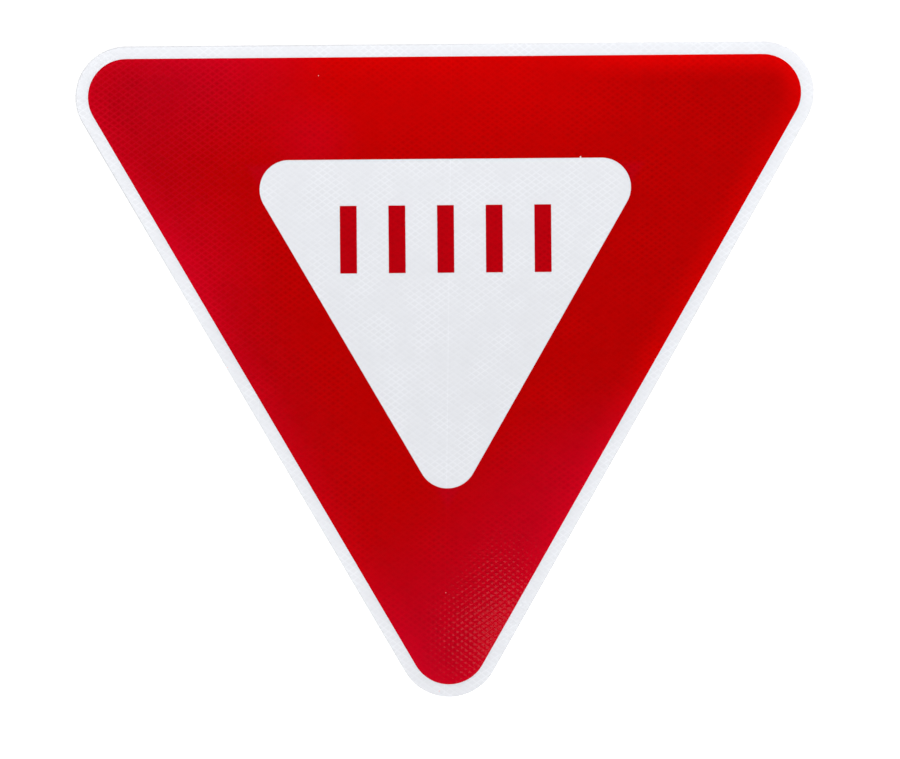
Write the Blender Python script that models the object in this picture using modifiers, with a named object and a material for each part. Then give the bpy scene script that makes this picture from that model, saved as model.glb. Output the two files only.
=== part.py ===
"""A triangular give-way sign panel: a flat aluminium blank faced with stuck-on films.

The panel stands upright with its point down. Its face looks towards -Y and its bare back towards +Y.
The origin is on the back face, at the centre of the triangle. Lengths are in metres.
"""

from math import acos, atan2, ceil, cos, pi, radians, sin, sqrt, tan

import bpy
from mathutils import Vector

# The triangle, as it is before its corners are rounded: sides of 36 inches.
PANEL_SIDE = 0.9144
PANEL_CORNER_RADIUS = 0.05715

# The layers, from the back to the face. Each film is held by a thin layer of its own adhesive.
BLANK_THICKNESS = 0.00203
SHEETING_THICKNESS = 0.00045
RED_FILM_THICKNESS = 0.0001
ADHESIVE_THICKNESS = 0.0001

# The blank's cut edge is deburred all round.
EDGE_BREAK = 0.0003
EDGE_BREAK_SEGMENTS = 2
EDGE_BREAK_LEAST_ANGLE = radians(60)

# The face: a white margin, the red border inside it, and a white triangle inside that.
WHITE_MARGIN = 0.014
RED_BORDER_WIDTH = 0.1153
WHITE_CORNER_RADIUS = 0.0331

# The legend: a row of plain upright bars, 3 inches high, near the top of the white triangle.
MARK_COUNT = 5
MARK_HEIGHT = 0.0762
MARK_WIDTH = 0.019
LEGEND_WIDTH = 0.238
MARK_CORNER_RADIUS = 0.0006
LEGEND_DROP = 0.052

# The furthest that a rounded corner's straight pieces may lie from its true arc.
ARC_ERROR = 0.00003
WELD_DISTANCE = 0.00001

SIGN_NAME = "give_way_sign"


def clear_scene():
    for thing in list(bpy.data.objects):
        bpy.data.objects.remove(thing, do_unlink=True)


def new_collection(name):
    collection = bpy.data.collections.new(name)
    bpy.context.scene.collection.children.link(collection)
    return collection


def new_material(name, colour, roughness, metallic):
    material = bpy.data.materials.new(name)
    material.use_nodes = True
    shader = material.node_tree.nodes["Principled BSDF"]
    shader.inputs["Base Color"].default_value = (*colour, 1.0)
    shader.inputs["Roughness"].default_value = roughness
    shader.inputs["Metallic"].default_value = metallic
    return material


def equilateral(side):
    """The corners of an equilateral triangle with its point down, and with its centre at the origin."""
    height = side * sqrt(3) / 2
    top = height / 3
    return [Vector((-side / 2, top)), Vector((0, top - height)), Vector((side / 2, top))]


def inset_side(side, distance):
    """The side of an equilateral triangle once each of its edges has moved in by a distance."""
    return side - 2 * sqrt(3) * distance


def round_corners(corners, radius):
    """The outline through the corners of a convex shape, with an arc of this radius at each corner."""
    outline = []
    for index, corner in enumerate(corners):
        to_last = (corners[index - 1] - corner).normalized()
        to_next = (corners[(index + 1) % len(corners)] - corner).normalized()
        half_angle = to_last.angle(to_next) / 2
        centre = corner + (to_last + to_next).normalized() * radius / sin(half_angle)
        start = corner + to_last * radius / tan(half_angle) - centre
        turn = pi - 2 * half_angle
        steps = ceil(turn / (2 * acos(1 - ARC_ERROR / radius)))
        first = atan2(start.y, start.x)
        for step in range(steps + 1):
            angle = first + turn * step / steps
            outline.append(centre + radius * Vector((cos(angle), sin(angle))))
    return outline


def new_plate(name, outlines, back, thickness, material, collection):
    """A flat piece whose back is this far in front of the origin. A second outline is a hole in it."""
    curve = bpy.data.curves.new(name, "CURVE")
    curve.dimensions = "2D"
    curve.fill_mode = "BOTH"
    curve.extrude = thickness / 2
    for outline in outlines:
        spline = curve.splines.new("POLY")
        spline.points.add(len(outline) - 1)
        for point, place in zip(spline.points, outline):
            point.co = (place.x, place.y, 0, 1)
        spline.use_cyclic_u = True
    curve.materials.append(material)
    plate = bpy.data.objects.new(name, curve)
    plate.rotation_euler.x = pi / 2
    plate.location.y = -(back + thickness / 2)
    collection.objects.link(plate)
    return plate


def break_edges(plate):
    weld = plate.modifiers.new("weld_caps", "WELD")
    weld.merge_threshold = WELD_DISTANCE
    bevel = plate.modifiers.new("edge_break", "BEVEL")
    bevel.width = EDGE_BREAK
    bevel.segments = EDGE_BREAK_SEGMENTS
    bevel.limit_method = "ANGLE"
    bevel.angle_limit = EDGE_BREAK_LEAST_ANGLE


def legend_mark(index):
    """The outline of one upright bar, in a row centred on the panel."""
    border_inside = inset_side(PANEL_SIDE, WHITE_MARGIN + RED_BORDER_WIDTH)
    top = equilateral(border_inside)[0].y - LEGEND_DROP
    pitch = (LEGEND_WIDTH - MARK_WIDTH) / (MARK_COUNT - 1)
    middle = (index - (MARK_COUNT - 1) / 2) * pitch
    left, right = middle - MARK_WIDTH / 2, middle + MARK_WIDTH / 2
    bottom = top - MARK_HEIGHT
    corners = [Vector(place) for place in ((left, top), (left, bottom), (right, bottom), (right, top))]
    return round_corners(corners, MARK_CORNER_RADIUS)


def build_sign():
    collection = new_collection(SIGN_NAME)
    aluminium = new_material("bare_aluminium", (0.72, 0.73, 0.74), 0.38, 1.0)
    white = new_material("white_sheeting", (0.86, 0.88, 0.91), 0.3, 0.0)
    red = new_material("red_film", (0.55, 0.0, 0.01), 0.25, 0.0)

    panel = round_corners(equilateral(PANEL_SIDE), PANEL_CORNER_RADIUS)
    border_side = inset_side(PANEL_SIDE, WHITE_MARGIN)
    border = round_corners(equilateral(border_side), PANEL_CORNER_RADIUS - WHITE_MARGIN)
    window_side = inset_side(border_side, RED_BORDER_WIDTH)
    window = round_corners(equilateral(window_side), WHITE_CORNER_RADIUS)

    sheeting_back = BLANK_THICKNESS + ADHESIVE_THICKNESS
    film_back = sheeting_back + SHEETING_THICKNESS + ADHESIVE_THICKNESS
    blank = new_plate("sign_blank", [panel], 0, BLANK_THICKNESS, aluminium, collection)
    break_edges(blank)
    new_plate("reflective_sheeting", [panel], sheeting_back, SHEETING_THICKNESS, white, collection)
    new_plate("red_border", [border, window], film_back, RED_FILM_THICKNESS, red, collection)
    for index in range(MARK_COUNT):
        name = f"legend_mark_{index + 1}"
        new_plate(name, [legend_mark(index)], film_back, RED_FILM_THICKNESS, red, collection)


clear_scene()
build_sign()
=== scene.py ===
"""The looks of the give-way sign panel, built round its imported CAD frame.

The white sheeting and the red films become closed sheets whose faces are pressed with the diamond
pattern of prismatic sheeting. The aluminium blank keeps its CAD shape. Lengths are in metres.
"""

from math import cos, pi, radians, sin

import bmesh
import bpy
import numpy as np
from mathutils import Matrix, Vector


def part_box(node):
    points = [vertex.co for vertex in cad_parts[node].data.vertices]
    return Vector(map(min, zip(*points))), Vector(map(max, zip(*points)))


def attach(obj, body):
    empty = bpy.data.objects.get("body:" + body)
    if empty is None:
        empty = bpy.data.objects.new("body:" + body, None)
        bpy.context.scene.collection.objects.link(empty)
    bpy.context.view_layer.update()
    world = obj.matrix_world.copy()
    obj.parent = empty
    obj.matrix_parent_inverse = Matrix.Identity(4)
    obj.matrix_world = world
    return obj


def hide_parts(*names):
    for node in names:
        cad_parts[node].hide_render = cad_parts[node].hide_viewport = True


# The diamond pattern pressed into the sheeting: its size, and how far its rows lean to the panel.
DIAMOND_WIDTH = 0.01002
DIAMOND_HEIGHT = 0.0071
PATTERN_LEAN = radians(-1.13)

# Each diamond has a groove all round, this share of its width, and then a low dome. The groove's
# side climbs to the shoulder, this share of the whole height, and the dome climbs the rest.
GROOVE_SHARE = 0.09
SHOULDER_SHARE = 0.4
SHEETING_RELIEF = 0.00012
FILM_RELIEF = 0.00011

# The cut edge of each film is pressed down a little.
EDGE_WIDTH = 0.0004
SHEETING_EDGE_DROP = 0.00012
FILM_EDGE_DROP = 0.00004

# Faces of a pressed sheet that meet at more than this angle have a sharp edge between them.
SHARP_ANGLE = radians(35)

# How a seal line's colour fades: from the first to the second, in diamonds from the groove's middle.
SEAL_LINE_FADE = (0.03, 0.16)

# Upright joints in the sheeting's mould, by their distance to the right of the panel's centre.
MOULD_JOINTS = (-0.2096, 0.0034, 0.2164)
MOULD_JOINT_WIDTH = 0.0008

# Small handling marks, each as its distance right of the centre, its height and its radius. Their
# outlines wander by the raggedness and fade out over the last distance.
RED_FILM_CHIPS = ((0.1526, 0.1355, 0.0012), (-0.0030, -0.3537, 0.0006), (-0.1417, 0.2293, 0.0006))
SHEETING_STAINS = ((-0.0113, -0.4643, 0.0010), (-0.2468, -0.0982, 0.0009))
SPOT_RAGGEDNESS = 0.0012
SPOT_FADE = 0.0006

# The colours, as linear light.
WHITE = (0.591, 0.603, 0.632)
STAIN = (0.7, 0.45, 0.45)
RED = (0.336, 0.0001, 0.0001)
CRIMSON = (0.345, 0.0002, 0.0075)
RED_SEAL_LINE = (0.42, 0.003, 0.02)
CHIPPED_RED = (0.7, 0.6, 0.55)
ALUMINIUM = (0.735, 0.745, 0.76)
FLOOR_TONES = ((0.79, 0.79, 0.79), (0.81, 0.81, 0.81))

# The heights of the slight waves in a film's surface and of the rolling lines in the aluminium.
FILM_WAVE_HEIGHT = 0.00005
ROLLING_LINE_HEIGHT = 0.00002

# The directions in which a painted bluish sheen turns the red crimson: to the left side, and to
# the lower right.
LEFT_SIDE = (-cos(radians(30)), 0.0, -sin(radians(30)))
LOWER_RIGHT = (sin(radians(45)), 0.0, -cos(radians(45)))

# Round places where a painted sheen and painted light change the red too, each as its distance
# right of the centre, its height, its radius, and how much crimson and how much light it adds.
RED_PLACES = (
    (-0.285, 0.275, 0.18, 0.78, 0.0),
    (-0.290, 0.020, 0.12, 0.26, 0.15),
    (-0.150, 0.155, 0.07, 0.40, 0.06),
)

# Two high softboxes light the face evenly, and a small low lamp puts a glint on the lower right.
SOFTBOX_PLACES = {"left_softbox": (-1.5, -1.6, 2.3), "right_softbox": (1.5, -1.6, 2.3)}
SOFTBOX_TARGET = (0, 0, -0.1)
SOFTBOX_SIZE = (1.2, 1.2)
SOFTBOX_WATTS = 35
LOW_LAMP_PLACE = (0.075, -1.0, -0.475)
LOW_LAMP_TARGET = (0.05, 0, -0.38)
LOW_LAMP_SIZE = (0.06, 0.09)
LOW_LAMP_WATTS = 0.02

# The white room's strength: as the camera sees it, as soft light, and in reflections of its two sides.
ROOM_SEEN = 1.05
ROOM_SOFT_LIGHT = 0.82
ROOM_REFLECTED_LEFT = 0.35
ROOM_REFLECTED_RIGHT = 1.15

# The floor's glow grows from its first to its second strength between these distances from the sign.
FLOOR_HEIGHT = -0.62
FLOOR_SIDE = 40.0
FLOOR_GLOW_DISTANCES = (0.25, 1.4)
FLOOR_GLOW_STRENGTHS = (0.02, 0.42)

# The camera stands straight in front of the panel. The view's width is measured on the sign's face,
# and the sensor's in millimetres.
CAMERA_DISTANCE = 4.0
CAMERA_TARGET = (0.0036, 0.0, -0.1137)
CAMERA_ROLL = radians(0.46)
VIEW_WIDTH = 1.0137
SENSOR_WIDTH = 36.0

# Points closer than this are one, and the lattice's points are counted in this share of a diamond.
WELD = 1e-7
KEY_STEP = 0.01

# A CAD face lies on a film's front when its normal's y is no more than this.
FRONT_NORMAL_Y = -0.99

# The levels that a sheet's points have, as their depths, until the sheet gets its real depths.
FACE_LEVEL, EDGE_LEVEL, BACK_LEVEL = 0, 1, 2

# A Mix node has one set of sockets for each kind of value. These are its sockets for colours.
MIX_AMOUNT, MIX_FIRST, MIX_SECOND, MIX_RESULT = 0, 6, 7, 2

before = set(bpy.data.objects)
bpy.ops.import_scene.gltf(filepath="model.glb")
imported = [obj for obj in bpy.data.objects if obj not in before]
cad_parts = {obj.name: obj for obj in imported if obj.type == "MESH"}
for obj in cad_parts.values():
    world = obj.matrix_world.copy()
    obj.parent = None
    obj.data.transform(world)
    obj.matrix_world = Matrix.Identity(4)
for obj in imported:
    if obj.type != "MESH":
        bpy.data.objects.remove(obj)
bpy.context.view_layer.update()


# ---- the diamond pattern ----


def lattice_axes():
    """The two directions along the grooves, each one diamond side long, as rows of (x, z)."""
    turn = Matrix.Rotation(PATTERN_LEAN, 2)
    up = turn @ Vector((DIAMOND_WIDTH / 2, DIAMOND_HEIGHT / 2))
    down = turn @ Vector((DIAMOND_WIDTH / 2, -DIAMOND_HEIGHT / 2))
    return np.array([up, down])


def lattice_rows():
    """The rows that turn a place (x, z) into how many diamonds it lies along each groove direction."""
    return np.linalg.inv(lattice_axes()).T


def relief_at(places):
    """How high the pattern stands at these places: 0 in a groove, and 1 at a diamond's middle."""
    share = (places @ lattice_rows().T) % 1.0
    to_groove = np.minimum(share, 1 - share).min(axis=1)
    return np.interp(to_groove, (0, GROOVE_SHARE, 0.5), (0, SHOULDER_SHARE, 1))


# ---- outlines ----


def faces_front(face):
    return face.normal.y <= FRONT_NORMAL_Y


def face_outlines(node):
    """The outlines of a CAD node's front face as rings of (x, z), the largest first."""
    mesh = bmesh.new()
    mesh.from_mesh(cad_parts[node].data)
    bmesh.ops.remove_doubles(mesh, verts=mesh.verts, dist=WELD)
    mesh.normal_update()
    next_vertex = {}
    for face in mesh.faces:
        if not faces_front(face):
            continue
        for loop in face.loops:
            if not faces_front(loop.link_loop_radial_next.face):
                next_vertex[loop.vert] = loop.link_loop_next.vert
    rings = []
    while next_vertex:
        start, vertex = next_vertex.popitem()
        ring = [(start.co.x, start.co.z)]
        while vertex is not start:
            ring.append((vertex.co.x, vertex.co.z))
            vertex = next_vertex.pop(vertex)
        rings.append(np.array(ring))
    mesh.free()
    return sorted(rings, key=lambda ring: -np.ptp(ring[:, 0]))


def segments(ring):
    return zip(ring, np.roll(ring, -1, axis=0))


def inside(ring, places):
    """Which of these places lie inside a ring, as an array of booleans."""
    x, z = places[:, 0, None], places[:, 1, None]
    x0, z0 = ring[:, 0], ring[:, 1]
    x1, z1 = np.roll(x0, -1), np.roll(z0, -1)
    level = (z0 > z) != (z1 > z)
    rise = np.where(z1 == z0, 1.0, z1 - z0)
    crossing = level & (x < (x1 - x0) * (z - z0) / rise + x0)
    return crossing.sum(axis=1) % 2 == 1


def on_sheet(rings, places):
    """Which of these places lie inside the first ring and outside the others."""
    found = inside(rings[0], places)
    for hole in rings[1:]:
        found &= ~inside(hole, places)
    return found


def distance_to_segment(places, start, end):
    along = end - start
    share = np.clip((places - start) @ along / (along @ along), 0, 1)
    return np.linalg.norm(places - start - share[:, None] * along, axis=1)


def distance_to_rings(places, rings):
    nearest = np.full(len(places), np.inf)
    for ring in rings:
        for start, end in segments(ring):
            nearest = np.minimum(nearest, distance_to_segment(places, start, end))
    return nearest


def moved_onto_sheet(ring, distance):
    """The ring moved sideways, to the left of its own direction. The sheet lies on that side of it."""
    ahead = np.roll(ring, -1, axis=0) - ring
    ahead /= np.linalg.norm(ahead, axis=1)[:, None]
    left = np.stack([-ahead[:, 1], ahead[:, 0]], axis=1)
    last_left = np.roll(left, 1, axis=0)
    square = 1 + (left * last_left).sum(axis=1)
    return ring + distance * (left + last_left) / square[:, None]


# ---- the pressed sheets ----


def lattice_cells(ring):
    """The diamonds whose middles lie in the ring's box, with a diamond to spare, and those middles."""
    axes = lattice_axes()
    low, high = ring.min(axis=0) - DIAMOND_WIDTH, ring.max(axis=0) + DIAMOND_WIDTH
    corners = np.array([(x, z) for x in (low[0], high[0]) for z in (low[1], high[1])])
    counts = corners @ lattice_rows().T
    first, last = np.floor(counts.min(axis=0)), np.ceil(counts.max(axis=0))
    cells = np.stack(np.meshgrid(*map(np.arange, first, last)), axis=-1).reshape(-1, 2)
    middles = (cells + 0.5) @ axes
    boxed = ((middles > low) & (middles < high)).all(axis=1)
    return cells[boxed], middles[boxed]


def add_diamonds(patch, cells):
    """Adds flat diamonds, each with a ring of four groove faces round the four faces of its dome."""
    near, far = GROOVE_SHARE, 1 - GROOVE_SHARE
    outer = [(0, 0), (1, 0), (1, 1), (0, 1)]
    inner = [(near, near), (far, near), (far, far), (near, far)]
    corners = np.array([*outer, *inner, (0.5, 0.5)])
    keys = np.round((cells[:, None, :] + corners) / KEY_STEP).astype(int).reshape(-1, 2)
    keys, index = np.unique(keys, axis=0, return_inverse=True)
    index = index.reshape(len(cells), len(corners))
    x, z = (keys * KEY_STEP @ lattice_axes()).T
    points = np.stack([x, np.full(len(x), FACE_LEVEL), z], axis=1)
    faces = []
    for side in range(4):
        after = (side + 1) % 4
        faces += index[:, (side, after, 4 + after, 4 + side)].tolist()
        faces += index[:, (4 + side, 4 + after, 8)].tolist()
    mesh = bpy.data.meshes.new("diamonds")
    mesh.from_pydata(points.tolist(), [], faces)
    patch.from_mesh(mesh)
    bpy.data.meshes.remove(mesh)


def face_centres(faces):
    return np.array([face.calc_center_median()[:] for face in faces])[:, (0, 2)]


def cut_along(patch, ring):
    """Cuts the patch's faces along a ring, and removes nothing."""
    faces = np.array(patch.faces[:], dtype=object)
    centres = face_centres(faces)
    for start, end in segments(ring):
        touched = distance_to_segment(centres, start, end) < DIAMOND_WIDTH
        parts = set(faces[touched])
        for face in faces[touched]:
            parts.update(face.edges)
            parts.update(face.verts)
        along = end - start
        made = bmesh.ops.bisect_plane(
            patch,
            geom=list(parts),
            dist=WELD,
            plane_co=(start[0], 0, start[1]),
            plane_no=(along[1], 0, -along[0]),
        )
        new = [part for part in made["geom"] if isinstance(part, bmesh.types.BMFace)]
        faces = np.concatenate([faces[~touched], np.array(new, dtype=object)])
        centres = np.concatenate([centres[~touched], face_centres(new)])


def diamond_patch(rings):
    """A flat patch of diamonds cut along the rings, and once more just inside them."""
    cells, middles = lattice_cells(rings[0])
    near = distance_to_rings(middles, rings) < DIAMOND_WIDTH
    patch = bmesh.new()
    add_diamonds(patch, cells[near])
    for ring in rings:
        cut_along(patch, ring)
        cut_along(patch, moved_onto_sheet(ring, EDGE_WIDTH))
    kept = on_sheet(rings, face_centres(patch.faces))
    spare = [face for face, keep in zip(patch.faces, kept) if not keep]
    bmesh.ops.delete(patch, geom=spare, context="FACES")
    add_diamonds(patch, cells[on_sheet(rings, middles) & ~near])
    bmesh.ops.remove_doubles(patch, verts=patch.verts, dist=WELD)
    return patch


def close_behind(patch):
    """Gives the flat patch sides and a back, so that it is one closed solid."""
    rim = [edge for edge in patch.edges if edge.is_boundary]
    for edge in rim:
        for vertex in edge.verts:
            vertex.co.y = EDGE_LEVEL
    made = bmesh.ops.extrude_edge_only(patch, edges=rim)["geom"]
    for part in made:
        if isinstance(part, bmesh.types.BMVert):
            part.co.y = BACK_LEVEL
    back_rim = [part for part in made if isinstance(part, bmesh.types.BMEdge) and part.is_boundary]
    bmesh.ops.triangle_fill(patch, use_beauty=True, edges=back_rim)
    bmesh.ops.recalc_face_normals(patch, faces=patch.faces)


def settle_faces(patch):
    """Lists the faces by their points, because an extrusion lists its new faces anew in each run."""
    patch.verts.index_update()
    ordered = sorted(patch.faces, key=lambda face: sorted(vertex.index for vertex in face.verts))
    for index, face in enumerate(ordered):
        face.index = index
    patch.faces.sort()


def set_depths(mesh, back, front, relief, edge_drop):
    """Gives each level its depth, presses the pattern into the face, and keeps what the looks need."""
    points = np.zeros(len(mesh.vertices) * 3, np.float32)
    mesh.vertices.foreach_get("co", points)
    points = points.reshape(-1, 3)
    levels = points[:, 1].round()
    pressed = front + relief * (1 - relief_at(points[:, (0, 2)]))
    depths = np.where(levels == EDGE_LEVEL, pressed + edge_drop, pressed)
    points[:, 1] = np.where(levels == BACK_LEVEL, back, depths)
    mesh.vertices.foreach_set("co", points.ravel())
    keep_values(mesh, "cut_edge", levels != FACE_LEVEL)
    panel = face_outlines("reflective_sheeting")[:1]
    keep_values(mesh, "from_edge", distance_to_rings(points[:, (0, 2)], panel))
    mesh.update()


def keep_values(mesh, name, values):
    """Stores one number for each point, for the material to read."""
    attribute = mesh.attributes.new(name, "FLOAT", "POINT")
    attribute.data.foreach_set("value", values.astype(np.float32))


def pressed_sheet(name, node, back, front, relief, edge_drop, material):
    """A closed sheet that stands for a CAD node: it has its outline, and the pattern in its face."""
    patch = diamond_patch(face_outlines(node))
    close_behind(patch)
    settle_faces(patch)
    mesh = bpy.data.meshes.new(name)
    patch.to_mesh(mesh)
    patch.free()
    set_depths(mesh, back, front, relief, edge_drop)
    mesh.shade_smooth()
    mesh.set_sharp_from_angle(angle=SHARP_ANGLE)
    mesh.materials.append(material)
    sheet = bpy.data.objects.new(name, mesh)
    bpy.context.scene.collection.objects.link(sheet)
    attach(sheet, "root")
    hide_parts(node)
    return sheet


# ---- node helpers ----


class Nodes:
    """Short calls that add nodes to a tree and link them."""

    def __init__(self, tree, coordinates="Object"):
        self.tree = tree
        self.place = self.add("ShaderNodeTexCoord").outputs[coordinates]

    def add(self, kind, **settings):
        node = self.tree.nodes.new(kind)
        for key, value in settings.items():
            setattr(node, key, value)
        return node

    def feed(self, socket, value):
        if isinstance(value, bpy.types.NodeSocket):
            self.tree.links.new(value, socket)
        else:
            socket.default_value = value

    def math(self, operation, *values):
        node = self.add("ShaderNodeMath", operation=operation)
        for socket, value in zip(node.inputs, values):
            self.feed(socket, value)
        return node.outputs[0]

    def product(self, first, second):
        return self.math("MULTIPLY", first, second)

    def vector(self, operation, output, *values):
        node = self.add("ShaderNodeVectorMath", operation=operation)
        for socket, value in zip(node.inputs, values):
            self.feed(socket, value)
        return node.outputs[output]

    def along(self, x, y, z):
        """How far the place lies along a direction."""
        return self.vector("DOT_PRODUCT", "Value", self.place, (x, y, z))

    def distance(self, x, y, z):
        """How far the place lies from a point."""
        return self.vector("DISTANCE", "Value", self.place, (x, y, z))

    def total(self, start, *parts):
        """A first value plus each part, given as a value and its weight."""
        for value, weight in parts:
            start = self.math("MULTIPLY_ADD", value, weight, start)
        return start

    def ramp(self, value, low, high, to_low=0.0, to_high=1.0):
        """A smooth step from one number to another, as a value goes from its low to its high limit."""
        node = self.add("ShaderNodeMapRange", interpolation_type="SMOOTHSTEP")
        limits = {"From Min": low, "From Max": high, "To Min": to_low, "To Max": to_high}
        for key, number in limits.items():
            self.feed(node.inputs[key], number)
        self.feed(node.inputs["Value"], value)
        return node.outputs["Result"]

    def kept(self, name):
        """A value that the mesh keeps for each of its points."""
        return self.add("ShaderNodeAttribute", attribute_name=name).outputs["Fac"]

    def noise(self, scale, detail=2.0, stretch=(1.0, 1.0, 1.0)):
        node = self.add("ShaderNodeTexNoise")
        self.feed(node.inputs["Vector"], self.vector("MULTIPLY", "Vector", self.place, stretch))
        self.feed(node.inputs["Scale"], scale)
        self.feed(node.inputs["Detail"], detail)
        return node.outputs["Fac"]

    def mix(self, amount, first, second):
        """From the first colour, a socket or three numbers, to the second, three numbers."""
        node = self.add("ShaderNodeMix", data_type="RGBA")
        self.feed(node.inputs[MIX_AMOUNT], amount)
        if not isinstance(first, bpy.types.NodeSocket):
            first = (*first, 1.0)
        self.feed(node.inputs[MIX_FIRST], first)
        self.feed(node.inputs[MIX_SECOND], (*second, 1.0))
        return node.outputs[MIX_RESULT]

    def scaled(self, colour, amount):
        node = self.add("ShaderNodeVectorMath", operation="SCALE")
        self.feed(node.inputs[0], colour)
        self.feed(node.inputs["Scale"], amount)
        return node.outputs["Vector"]

    def bump(self, height, distance):
        node = self.add("ShaderNodeBump")
        self.feed(node.inputs["Height"], height)
        self.feed(node.inputs["Distance"], distance)
        return node.outputs["Normal"]


def new_material(name, **inputs):
    material = bpy.data.materials.new(name)
    material.use_nodes = True
    nodes = Nodes(material.node_tree)
    set_shader(nodes, **inputs)
    return material, nodes


def set_shader(nodes, **inputs):
    shader = nodes.tree.nodes["Principled BSDF"]
    for key, value in inputs.items():
        nodes.feed(shader.inputs[key.replace("_", " ")], value)


# ---- materials ----


def pattern(nodes):
    """The pattern as values from 0 to 1: its seal lines, the middles of its diamonds, the joints of
    its mould, and a chance value, which is the same all over a diamond."""
    counts = [nodes.along(row[0], 0, row[1]) for row in lattice_rows()]
    shares = [nodes.math("FRACT", count) for count in counts]
    to_groove = [nodes.math("PINGPONG", share, 0.5) for share in shares]
    line = nodes.ramp(nodes.math("MINIMUM", *to_groove), *SEAL_LINE_FADE, 1.0, 0.0)
    from_middle = [nodes.math("SUBTRACT", 0.5, share) for share in to_groove]
    squares = [nodes.product(share, share) for share in from_middle]
    middle = nodes.ramp(nodes.math("ADD", *squares), 0.0, 0.07, 1.0, 0.0)
    across = nodes.along(cos(PATTERN_LEAN), 0, sin(PATTERN_LEAN))
    joint = 0.0
    for offset in MOULD_JOINTS:
        gap = nodes.math("ABSOLUTE", nodes.math("SUBTRACT", across, offset))
        mark = nodes.ramp(gap, 0.2 * MOULD_JOINT_WIDTH, MOULD_JOINT_WIDTH, 1.0, 0.0)
        joint = nodes.math("MAXIMUM", mark, joint)
    cell = nodes.add("ShaderNodeCombineXYZ")
    for socket, count in zip(cell.inputs, counts):
        nodes.feed(socket, nodes.math("FLOOR", count))
    chance = nodes.add("ShaderNodeTexWhiteNoise")
    nodes.feed(chance.inputs["Vector"], cell.outputs[0])
    return line, middle, joint, chance.outputs["Value"]


def spots(nodes, depth, marks):
    """Small ragged spots on the face as a value from 0 to 1."""
    ragged = nodes.product(nodes.noise(900), SPOT_RAGGEDNESS)
    found = 0.0
    for x, z, radius in marks:
        reach = nodes.math("ADD", nodes.distance(x, depth, z), ragged)
        spot = nodes.ramp(reach, radius, radius + SPOT_FADE, 1.0, 0.0)
        found = nodes.math("MAXIMUM", spot, found)
    return found


def film_waves(nodes):
    """The slight waves in the surface of a stuck-on film."""
    waves = nodes.total(0.0, (nodes.noise(420), 0.15), (nodes.noise(120), 1.0))
    return nodes.bump(waves, FILM_WAVE_HEIGHT)


def white_sheeting():
    """Cool white with the fine grain of its prisms, lighter on the seal lines. Painted light
    makes it lighter low down and towards the cut edge. Painted shade darkens the cut edge, with a
    thin grey line along it at the upper left."""
    material, nodes = new_material("white_prismatic_sheeting")
    line, middle, joint, chance = pattern(nodes)
    from_edge = nodes.kept("from_edge")
    edge = nodes.ramp(from_edge, 0.0, 0.02, 1.0, 0.0)
    low = nodes.ramp(nodes.along(0, 0, -1), 0.05, 0.4)
    # Painted shade: a thin grey line along the cut edge, on the upper left side only.
    upper_left = nodes.ramp(nodes.along(-0.5, 0, 0.87), 0.1, 0.3)
    painted_edge_shade = nodes.product(nodes.ramp(from_edge, 0.0004, 0.0014, 1.0, 0.0), upper_left)
    patches = nodes.ramp(nodes.noise(26, 1.0), 0.35, 0.65, 0.4, 1.6)
    brightness = nodes.total(
        0.97,
        (nodes.product(line, patches), 0.05),
        (nodes.product(middle, patches), -0.008),
        (joint, 0.05),
        (chance, 0.02),
        # Painted light: lighter towards the cut edge and low down.
        (edge, 0.09),
        (low, 0.07),
        # Painted shade: the grey line at the upper left, and the whole cut edge darker.
        (painted_edge_shade, -0.2),
        (nodes.kept("cut_edge"), -0.2),
        (nodes.noise(2600, 1.0), 0.03),
        (nodes.noise(8, 3.0), 0.03),
    )
    stains = spots(nodes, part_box("reflective_sheeting")[0].y, SHEETING_STAINS)
    set_shader(
        nodes,
        Base_Color=nodes.scaled(nodes.mix(stains, WHITE, STAIN), brightness),
        Roughness=nodes.ramp(nodes.noise(160, 3.0), 0.3, 0.7, 0.08, 0.12),
        Specular_IOR_Level=0.4,
        Normal=film_waves(nodes),
    )
    return material


def crimson_share(nodes, low, lower_right):
    """How crimson the red is. A painted bluish sheen makes it crimson at the left side, where
    that fades low down, and at the lower right. The legend is a little crimson too."""
    to_left_side = nodes.along(*LEFT_SIDE)
    left_side = nodes.math(
        "ADD",
        nodes.ramp(to_left_side, 0.15, 0.25, 0.0, 0.27),
        nodes.ramp(to_left_side, 0.215, 0.255, 0.0, 0.26),
    )
    fading_side = nodes.product(left_side, nodes.total(1.0, (low, -0.6)))
    legend = nodes.ramp(nodes.kept("from_edge"), 0.13, 0.14)
    return nodes.total(fading_side, (lower_right, 0.85), (legend, 0.35))


def painted_light_by_place(nodes, brightness, low, lower_right, left):
    """The red's brightness with painted light and shade by place. Painted light makes it paler
    along the top, the outer edge, low down and at the lower right, and painted shade makes it a
    little darker to the left and to the right.
    """
    from_edge = nodes.kept("from_edge")
    edge = nodes.ramp(from_edge, 0.013, 0.045, 1.0, 0.0)
    rim = nodes.ramp(from_edge, 0.013, 0.02, 1.0, 0.0)
    right = nodes.ramp(nodes.along(1, 0, 0), 0.1, 0.25)
    right_edge = nodes.product(edge, right)
    high = nodes.ramp(nodes.along(0, 0, 1), 0.16, 0.24)
    from_top_middle = nodes.math("ABSOLUTE", nodes.math("ADD", nodes.along(1, 0, 0), 0.02))
    top = nodes.product(
        nodes.ramp(nodes.along(0, 0, 1), 0.08, 0.26),
        nodes.ramp(from_top_middle, 0.08, 0.36, 1.0, 0.0),
    )
    return nodes.total(
        brightness,
        (edge, 0.15),
        (rim, 0.1),
        (right_edge, 0.13),
        (nodes.product(right_edge, high), 0.22),
        (nodes.product(edge, top), -0.06),
        (top, 0.22),
        (left, -0.045),
        (right, -0.037),
        (low, 0.06),
        (lower_right, 0.10),
    )


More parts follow.
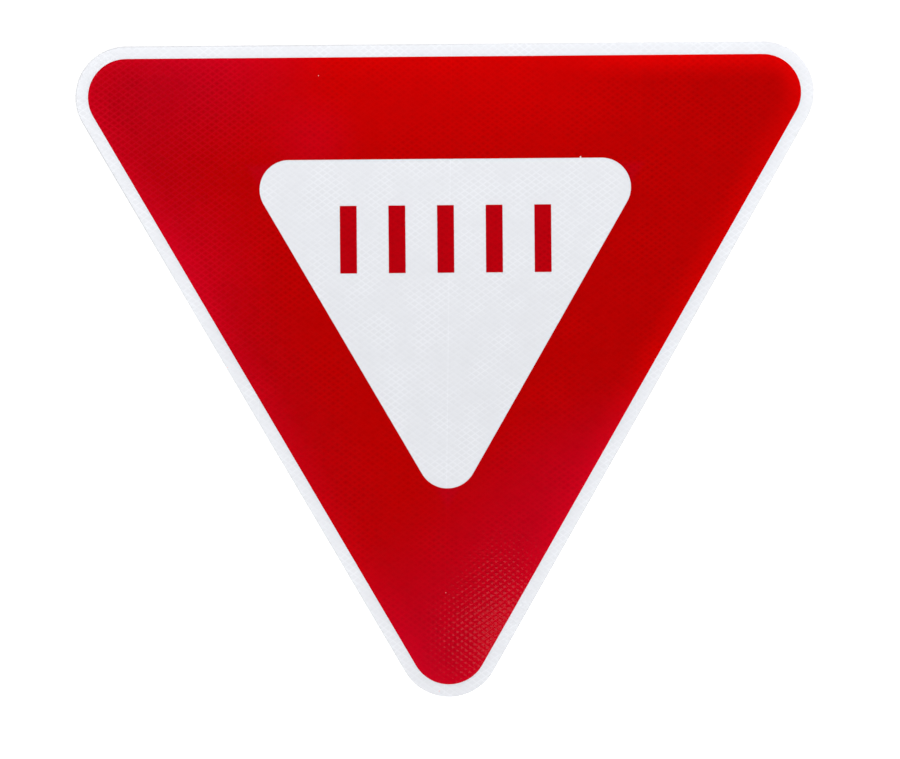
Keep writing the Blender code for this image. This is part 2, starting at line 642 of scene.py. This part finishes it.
def red_film():
    """Clear red over the sheeting, whose pattern shows through it with an uneven contrast."""
    material, nodes = new_material("red_overlay_film")
    line, middle, joint, chance = pattern(nodes)
    left = nodes.ramp(nodes.along(-1, 0, 0), 0.12, 0.36)
    low = nodes.ramp(nodes.along(0, 0, -1), 0.05, 0.4)
    lower_right = nodes.product(
        nodes.ramp(nodes.along(*LOWER_RIGHT), 0.12, 0.3),
        nodes.ramp(nodes.along(0, 0, -1), 0.08, 0.22),
    )
    contrast = nodes.ramp(nodes.noise(14, 1.0), 0.3, 0.7, 0.3, 1.25)
    brightness = nodes.total(
        0.935,
        (nodes.product(line, contrast), 0.10),
        (nodes.product(middle, contrast), -0.13),
        (joint, 0.06),
        (chance, 0.07),
    )
    # Painted light and painted shade, by place on the film.
    brightness = painted_light_by_place(nodes, brightness, low, lower_right, left)
    brightness = nodes.total(brightness, (nodes.noise(2600, 1.0), 0.06), (nodes.noise(8, 3.0), 0.04))
    # Painted sheen: a bluish cast turns the red crimson at the left and lower right.
    crimson = crimson_share(nodes, low, lower_right)
    # Painted sheen and painted light in a few round places.
    for x, z, radius, more_crimson, painted_light_added in RED_PLACES:
        near = nodes.ramp(nodes.distance(x, 0.0, z), 0.0, radius, 1.0, 0.0)
        crimson = nodes.total(crimson, (near, more_crimson))
        brightness = nodes.total(brightness, (near, painted_light_added))
    tone = nodes.mix(crimson, RED, CRIMSON)
    lined = nodes.mix(nodes.product(nodes.product(line, left), 0.2), tone, RED_SEAL_LINE)
    chips = spots(nodes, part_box("red_border")[0].y, RED_FILM_CHIPS)
    set_shader(
        nodes,
        Base_Color=nodes.scaled(nodes.mix(chips, lined, CHIPPED_RED), brightness),
        Roughness=nodes.ramp(nodes.noise(160, 3.0), 0.3, 0.7, 0.05, 0.08),
        Specular_IOR_Level=0.3,
        Normal=film_waves(nodes),
    )
    return material


def bare_aluminium():
    """Mill-finish sheet: rolling lines, broad bands and faint smudges, with a duller sheared edge."""
    material, nodes = new_material("mill_finish_aluminium", Metallic=1.0)
    grain = nodes.noise(1.0, 5.0, (25, 900, 2200))
    lines = nodes.noise(1.0, 3.0, (3, 100, 420))
    bands = nodes.noise(1.0, 1.0, (1.2, 10, 26))
    smudges = nodes.ramp(nodes.noise(9, 3.0), 0.5, 0.8)
    facing = nodes.add("ShaderNodeTexCoord").outputs["Normal"]
    across = nodes.math("ABSOLUTE", nodes.vector("DOT_PRODUCT", "Value", facing, (0, 1, 0)))
    sheared = nodes.ramp(across, 0.5, 0.95, 1.0, 0.0)
    brightness = nodes.total(
        0.72, (grain, 0.2), (lines, 0.22), (bands, 0.08), (smudges, -0.04), (sheared, -0.3)
    )
    waves = nodes.total(0.0, (grain, 0.6), (lines, 1.4), (nodes.noise(3.2, 0.0), 90.0))
    set_shader(
        nodes,
        Base_Color=nodes.scaled(ALUMINIUM, brightness),
        Roughness=nodes.total(0.2, (grain, 0.08), (bands, 0.1), (smudges, 0.05), (sheared, 0.2)),
        Normal=nodes.bump(waves, ROLLING_LINE_HEIGHT),
    )
    return material


# ---- stage, lights and camera ----


def area_light(name, place, target, size, watts, **visible):
    light = bpy.data.lights.new(name, "AREA")
    light.shape = "RECTANGLE"
    light.size, light.size_y = size
    light.energy = watts
    lamp = bpy.data.objects.new(name, light)
    lamp.location = place
    lamp.rotation_euler = (Vector(target) - Vector(place)).to_track_quat("-Z", "Y").to_euler()
    lamp.visible_camera = False
    for key, value in visible.items():
        setattr(lamp, key, value)
    bpy.context.scene.collection.objects.link(lamp)


def build_lights():
    """The softboxes don't show in the gloss, and the low lamp shows only there."""
    for name, place in SOFTBOX_PLACES.items():
        area_light(name, place, SOFTBOX_TARGET, SOFTBOX_SIZE, SOFTBOX_WATTS, visible_glossy=False)
    area_light(
        "low_lamp",
        LOW_LAMP_PLACE,
        LOW_LAMP_TARGET,
        LOW_LAMP_SIZE,
        LOW_LAMP_WATTS,
        visible_diffuse=False,
    )


def build_floor():
    """A plain pale floor with the sign's soft shadow. Far off it glows, so that it has no horizon."""
    mesh = bpy.data.meshes.new("floor")
    patch = bmesh.new()
    bmesh.ops.create_grid(patch, x_segments=1, y_segments=1, size=FLOOR_SIDE / 2)
    patch.to_mesh(mesh)
    patch.free()
    floor = bpy.data.objects.new("floor", mesh)
    floor.location.z = FLOOR_HEIGHT
    floor.visible_glossy = False
    bpy.context.scene.collection.objects.link(floor)
    material, nodes = new_material("pale_floor", Roughness=0.9, Specular_IOR_Level=0.0)
    far_off = nodes.vector("LENGTH", "Value", nodes.place)
    set_shader(
        nodes,
        Base_Color=nodes.mix(nodes.noise(3.0), *FLOOR_TONES),
        Emission_Color=(1.0, 1.0, 1.0, 1.0),
        Emission_Strength=nodes.ramp(far_off, *FLOOR_GLOW_DISTANCES, *FLOOR_GLOW_STRENGTHS),
    )
    mesh.materials.append(material)


def build_world():
    """A white room. Reflections see it dark in front of the sign, and brighter on its right."""
    world = bpy.data.worlds.new("studio")
    bpy.context.scene.world = world
    world.use_nodes = True
    world.node_tree.nodes.clear()
    nodes = Nodes(world.node_tree, "Generated")
    path = nodes.add("ShaderNodeLightPath")

    def background(strength):
        node = nodes.add("ShaderNodeBackground")
        nodes.feed(node.inputs["Color"], (1.0, 1.0, 1.0, 1.0))
        nodes.feed(node.inputs["Strength"], strength)
        return node.outputs[0]

    def choose(factor, first, second):
        node = nodes.add("ShaderNodeMixShader")
        for socket, value in zip(node.inputs, (factor, first, second)):
            nodes.feed(socket, value)
        return node.outputs[0]

    beside = nodes.ramp(nodes.along(0, -1, 0), 0.5, 0.85, 1.0, 0.0)
    across = nodes.ramp(nodes.along(1, 0, 0), 0.5, 0.85, ROOM_REFLECTED_LEFT, ROOM_REFLECTED_RIGHT)
    reflected = background(nodes.product(beside, across))
    unseen = choose(path.outputs["Is Glossy Ray"], background(ROOM_SOFT_LIGHT), reflected)
    output = nodes.add("ShaderNodeOutputWorld")
    nodes.feed(output.inputs[0], choose(path.outputs["Is Camera Ray"], unseen, background(ROOM_SEEN)))


def build_camera():
    data = bpy.data.cameras.new("camera")
    data.sensor_width = SENSOR_WIDTH
    data.lens = SENSOR_WIDTH * CAMERA_DISTANCE / VIEW_WIDTH
    camera = bpy.data.objects.new("camera", data)
    camera.location = Vector(CAMERA_TARGET) + Vector((0, -CAMERA_DISTANCE, 0))
    camera.rotation_euler = (pi / 2, CAMERA_ROLL, 0)
    bpy.context.scene.collection.objects.link(camera)
    bpy.context.scene.camera = camera


# ---- the sign ----


def build_sign():
    """The blank gets its material, and a pressed sheet stands for each film."""
    blank_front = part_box("sign_blank")[0].y
    sheeting_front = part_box("reflective_sheeting")[0].y
    film_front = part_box("red_border")[0].y

    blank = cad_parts["sign_blank"]
    blank.data.materials.clear()
    blank.data.materials.append(bare_aluminium())

    sheeting = pressed_sheet(
        "white_sheeting",
        "reflective_sheeting",
        blank_front,
        sheeting_front,
        SHEETING_RELIEF,
        SHEETING_EDGE_DROP,
        white_sheeting(),
    )

    red = red_film()
    marks = sorted(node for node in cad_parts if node.startswith("legend_mark"))
    for node in ("red_border", *marks):
        film = pressed_sheet(
            node + "_film", node, sheeting_front, film_front, FILM_RELIEF, FILM_EDGE_DROP, red
        )


build_sign()
build_floor()
build_world()
build_lights()
build_camera()
bpy.context.scene.view_settings.view_transform = "Standard"
